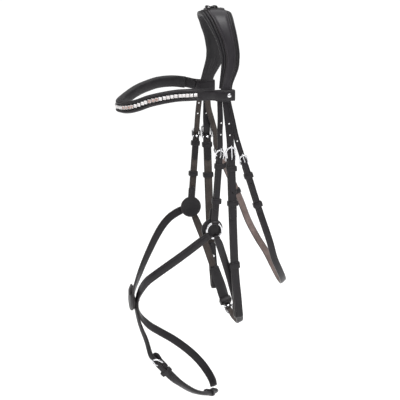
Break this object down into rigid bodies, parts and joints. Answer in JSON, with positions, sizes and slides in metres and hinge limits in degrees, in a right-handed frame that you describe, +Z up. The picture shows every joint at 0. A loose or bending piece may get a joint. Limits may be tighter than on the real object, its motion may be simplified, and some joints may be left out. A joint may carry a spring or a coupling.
{
  "type": "snaffle bridle",
  "caption": "Padded snaffle bridle with curved browband, crossed noseband, padded jaw strap, throatlash and buckled cheekpieces that hang from a shaped headpiece.",
  "frame": {"origin": "top of the poll: middle of the crown strap, where the headpiece sits on the horse", "axes": "+Z up, -X the way the horse faces, -Y its near (left) side"},
  "size_m": [0.255, 0.151, 0.5849],
  "materials": {
    "bridle_leather": "smooth black, waxed",
    "lining_leather": "soft black padding leather",
    "polished_steel": "polished stainless steel",
    "cut_glass": "faceted clear stones"
  },
  "bodies": {
    "headpiece": {"headpiece_strap": "bridle_leather", "headpiece_pad": "lining_leather", "poll_keeper": "bridle_leather", "near_noseband_hanger": "bridle_leather", "far_noseband_hanger": "bridle_leather", "near_noseband_buckle": "polished_steel", "far_noseband_buckle": "polished_steel", "noseband_fixed_keepers": "bridle_leather", "ring_pads": "bridle_leather"},
    "browband": {"browband": "bridle_leather", "browband_pad": "lining_leather", "clincher_settings": "polished_steel", "clincher_stones": "cut_glass", "browband_loops": "bridle_leather"},
    "near_cheek": {"near_cheek_billet": "bridle_leather", "near_cheekpiece": "bridle_leather", "near_cheek_buckle": "polished_steel", "near_cheek_fixed_keeper": "bridle_leather", "near_hook_stud": "polished_steel", "near_bit_keeper": "bridle_leather"},
    "far_cheek": {"far_cheek_billet": "bridle_leather", "far_cheekpiece": "bridle_leather", "far_cheek_buckle": "polished_steel", "far_cheek_fixed_keeper": "bridle_leather", "far_hook_stud": "polished_steel", "far_bit_keeper": "bridle_leather"},
    "throatlash": {"throatlash": "bridle_leather", "throat_billets": "bridle_leather", "throat_buckles": "polished_steel", "throat_fixed_keepers": "bridle_leather"},
    "nose_straps": {"near_nose_strap": "bridle_leather", "far_nose_strap": "bridle_leather", "nose_disc": "bridle_leather", "nose_rivet": "polished_steel", "chin_strap": "bridle_leather", "chin_safe_tab": "bridle_leather", "chin_buckle": "polished_steel", "chin_fixed_keeper": "bridle_leather", "chin_end_loop": "bridle_leather"},
    "jaw_straps": {"near_jaw_strap": "bridle_leather", "far_jaw_strap": "bridle_leather", "jaw_pad": "lining_leather", "jaw_buckle": "polished_steel", "jaw_fixed_keeper": "bridle_leather"},
    "near_ring": {"near_ring": "polished_steel"},
    "far_ring": {"far_ring": "polished_steel"},
    "near_noseband_prong": {"near_noseband_prong": "polished_steel"},
    "far_noseband_prong": {"far_noseband_prong": "polished_steel"},
    "near_cheek_prong": {"near_cheek_prong": "polished_steel"},
    "far_cheek_prong": {"far_cheek_prong": "polished_steel"},
    "near_throat_prong": {"near_throat_prong": "polished_steel"},
    "far_throat_prong": {"far_throat_prong": "polished_steel"},
    "chin_prong": {"chin_prong": "polished_steel"},
    "jaw_prong": {"jaw_prong": "polished_steel"},
    "near_noseband_sliding_keeper": {"near_noseband_sliding_keeper": "bridle_leather"},
    "far_noseband_sliding_keeper": {"far_noseband_sliding_keeper": "bridle_leather"},
    "near_cheek_sliding_keeper": {"near_cheek_sliding_keeper": "bridle_leather"},
    "far_cheek_sliding_keeper": {"far_cheek_sliding_keeper": "bridle_leather"},
    "near_throat_sliding_keeper": {"near_throat_sliding_keeper": "bridle_leather"},
    "far_throat_sliding_keeper": {"far_throat_sliding_keeper": "bridle_leather"}
  },
  "joints": [
    {"name": "browband_slide", "type": "slide", "parent": "headpiece", "child": "browband", "axis": [0, 0, 1], "range_m": [0, 0.004]},
    {"name": "near_cheek_flex", "type": "hinge", "parent": "headpiece", "child": "near_cheek", "pos_m": [0.00363, -0.0596, -0.17702], "axis": [-0.9992, 0, -0.0403], "range_deg": [0, 20]},
    {"name": "far_cheek_flex", "type": "hinge", "parent": "headpiece", "child": "far_cheek", "pos_m": [0.00176, 0.0596, -0.16452], "axis": [0.9994, 0, 0.036], "range_deg": [0, 20]},
    {"name": "throatlash_swing", "type": "hinge", "parent": "headpiece", "child": "throatlash", "pos_m": [0.01793, 0, -0.2004], "axis": [0.0458, -0.9963, 0.0728], "range_deg": [0, 20]},
    {"name": "nose_strap_swing", "type": "hinge", "parent": "headpiece", "child": "nose_straps", "pos_m": [-0.0204, 0, -0.30225], "axis": [-0.018, 0.998, 0.0612], "range_deg": [0, 15]},
    {"name": "jaw_strap_swing", "type": "hinge", "parent": "headpiece", "child": "jaw_straps", "pos_m": [-0.0204, 0, -0.30225], "axis": [0.018, -0.998, -0.0612], "range_deg": [0, 12]},
    {"name": "near_ring_turn", "type": "hinge", "parent": "headpiece", "child": "near_ring", "pos_m": [-0.0193, -0.0611, -0.306], "axis": [0, 1, 0], "continuous": true},
    {"name": "far_ring_turn", "type": "hinge", "parent": "headpiece", "child": "far_ring", "pos_m": [-0.0215, 0.0611, -0.2985], "axis": [0, 1, 0], "continuous": true},
    {"name": "near_noseband_prong_lift", "type": "hinge", "parent": "headpiece", "child": "near_noseband_prong", "pos_m": [-0.0122, -0.0589, -0.2025], "axis": [0.9975, 0, -0.0703], "range_deg": [0, 10]},
    {"name": "far_noseband_prong_lift", "type": "hinge", "parent": "headpiece", "child": "far_noseband_prong", "pos_m": [-0.0139, 0.0589, -0.1915], "axis": [-0.9973, 0, 0.0732], "range_deg": [0, 10]},
    {"name": "near_cheek_prong_lift", "type": "hinge", "parent": "near_cheek", "child": "near_cheek_prong", "pos_m": [0.0048, -0.0589, -0.206], "axis": [0.9992, 0, 0.0403], "range_deg": [0, 10]},
    {"name": "far_cheek_prong_lift", "type": "hinge", "parent": "far_cheek", "child": "far_cheek_prong", "pos_m": [0.0028, 0.0589, -0.1935], "axis": [-0.9994, 0, -0.036], "range_deg": [0, 10]},
    {"name": "near_throat_prong_lift", "type": "hinge", "parent": "throatlash", "child": "near_throat_prong", "pos_m": [0.0256, -0.0553, -0.212], "axis": [0.951, 0, 0.3091], "range_deg": [0, 10]},
    {"name": "far_throat_prong_lift", "type": "hinge", "parent": "throatlash", "child": "far_throat_prong", "pos_m": [0.022, 0.0553, -0.2196], "axis": [-0.9153, 0, -0.4027], "range_deg": [0, 10]},
    {"name": "chin_prong_lift", "type": "hinge", "parent": "nose_straps", "child": "chin_prong", "pos_m": [-0.0942, -0.03532, -0.50714], "axis": [0.5709, -0.5916, 0.5693], "range_deg": [0, 10]},
    {"name": "jaw_prong_lift", "type": "hinge", "parent": "jaw_straps", "child": "jaw_prong", "pos_m": [0.03006, 0.03728, -0.45028], "axis": [0.9641, 0.0568, 0.2594], "range_deg": [0, 10]},
    {"name": "near_noseband_keeper_slide", "type": "slide", "parent": "headpiece", "child": "near_noseband_sliding_keeper", "axis": [0.0703, 0, 0.9975], "range_m": [-0.004, 0.03]},
    {"name": "far_noseband_keeper_slide", "type": "slide", "parent": "headpiece", "child": "far_noseband_sliding_keeper", "axis": [0.0732, 0, 0.9973], "range_m": [-0.008, 0.03]},
    {"name": "near_cheek_keeper_slide", "type": "slide", "parent": "near_cheek", "child": "near_cheek_sliding_keeper", "axis": [-0.0403, 0, 0.9992], "range_m": [-0.015, 0.03]},
    {"name": "far_cheek_keeper_slide", "type": "slide", "parent": "far_cheek", "child": "far_cheek_sliding_keeper", "axis": [-0.036, 0, 0.9994], "range_m": [-0.015, 0.03]},
    {"name": "near_throat_keeper_slide", "type": "slide", "parent": "throatlash", "child": "near_throat_sliding_keeper", "axis": [-0.3091, 0, 0.951], "range_m": [-0.004, 0.02]},
    {"name": "far_throat_keeper_slide", "type": "slide", "parent": "throatlash", "child": "far_throat_sliding_keeper", "axis": [-0.4027, 0, 0.9153], "range_m": [-0.004, 0.02]}
  ]
}
